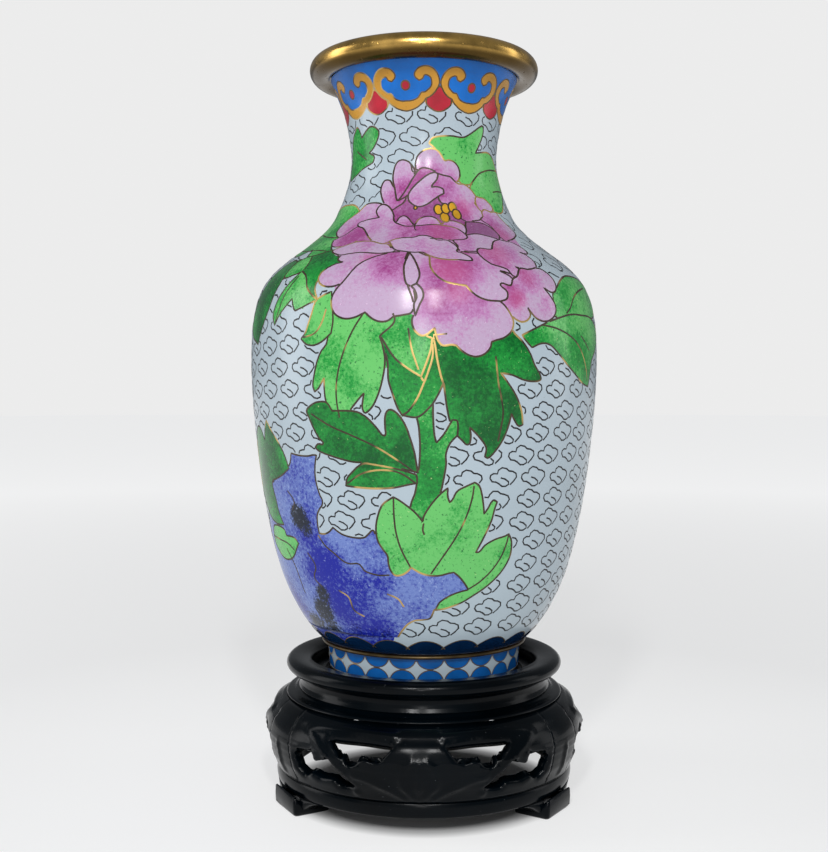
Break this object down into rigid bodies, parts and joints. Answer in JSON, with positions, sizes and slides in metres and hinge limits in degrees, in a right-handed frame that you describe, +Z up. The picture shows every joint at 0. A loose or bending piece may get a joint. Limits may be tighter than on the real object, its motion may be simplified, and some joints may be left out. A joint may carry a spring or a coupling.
{
  "type": "cloisonne vase",
  "caption": "Baluster cloisonne enamel vase with a rolled gilt mouth, standing in the well of a carved, pierced black lacquered round stand on pad feet.",
  "frame": {"origin": "on the table, below the common axis of vase and stand", "axes": "+Z up the axis, -Y towards the front with the peony, +X to the viewer's right"},
  "size_m": [0.1146, 0.1146, 0.2433],
  "materials": {
    "copper": "spun and soldered sheet copper, seen only inside the wall",
    "gilt": "polished gilding with fine pits",
    "white_enamel": "opaque fired enamel, glossy",
    "collar_enamel": "opaque fired enamel, glossy",
    "scallop_enamel": "opaque fired enamel, glossy",
    "foot_enamel": "opaque fired enamel, glossy",
    "lining_enamel": "opaque counter enamel, slightly pitted",
    "lacquer": "glossy black lacquer on carved wood"
  },
  "bodies": {
    "stand": {"stand_top_ring": "lacquer", "stand_seat_board": "lacquer", "stand_waist_ring": "lacquer", "stand_moulding_ring": "lacquer", "stand_base_ring": "lacquer", "apron_panel_1": "lacquer", "leg_1": "lacquer", "foot_pad_1": "lacquer", "apron_panel_2": "lacquer", "leg_2": "lacquer", "foot_pad_2": "lacquer", "apron_panel_3": "lacquer", "leg_3": "lacquer", "foot_pad_3": "lacquer"},
    "vase": {"copper_body_lower": "copper", "copper_body_upper": "copper", "copper_neck": "copper", "copper_foot_ring": "copper", "gilt_mouth_rim": "gilt", "gilt_foot_edge": "gilt", "gilt_foot_wire": "gilt", "enamel_foot_band": "foot_enamel", "enamel_scallop_band": "scallop_enamel", "enamel_body_ground": "white_enamel", "enamel_collar_band": "collar_enamel", "counter_enamel_lining": "lining_enamel", "counter_enamel_base": "lining_enamel"}
  },
  "joints": [
    {"name": "vase_lift", "type": "slide", "parent": "stand", "child": "vase", "axis": [0, 0, 1], "range_m": [0, 0.06]}
  ]
}
